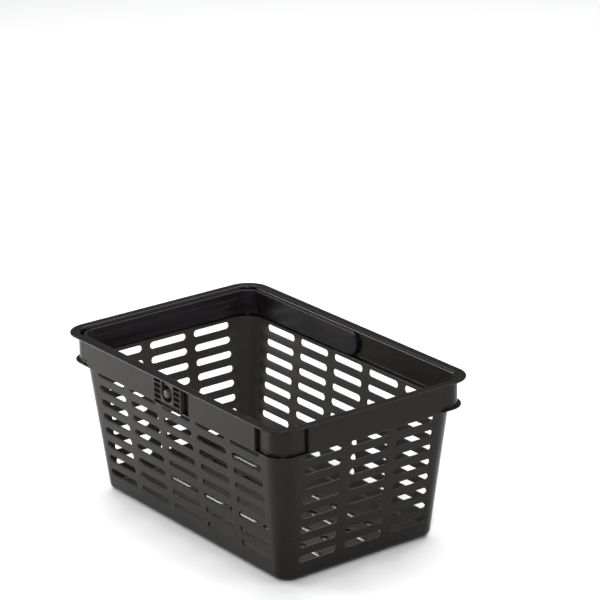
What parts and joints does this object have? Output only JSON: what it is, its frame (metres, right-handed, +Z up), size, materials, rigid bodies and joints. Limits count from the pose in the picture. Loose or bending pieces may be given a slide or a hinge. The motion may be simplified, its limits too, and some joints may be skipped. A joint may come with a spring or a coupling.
{
  "type": "shopping basket",
  "caption": "Hand-held shopping basket: a slotted tapered tub with a stiff rim and one carry handle that folds down onto a ledge inside the rim.",
  "frame": {"origin": "centre of the base, on the floor", "axes": "+X along the basket's length, +Z up; the handle lies folded towards -X"},
  "size_m": [0.45, 0.296, 0.21],
  "materials": {
    "shell_plastic": "satin moulded polypropylene",
    "handle_plastic": "satin moulded polypropylene",
    "block_plastic": "fine-grained moulded polypropylene",
    "pin_plastic": "smooth moulded acetal"
  },
  "bodies": {
    "basket": {"basket_shell": "shell_plastic", "hinge_block_front": "block_plastic", "hinge_block_back": "block_plastic"},
    "handle": {"carry_handle": "handle_plastic", "hinge_pin_front": "pin_plastic", "hinge_pin_back": "pin_plastic"}
  },
  "joints": [
    {"name": "handle_hinge", "type": "hinge", "parent": "basket", "child": "handle", "pos_m": [0, 0, 0.1913], "axis": [0, 1, 0], "range_deg": [0, 180]}
  ]
}
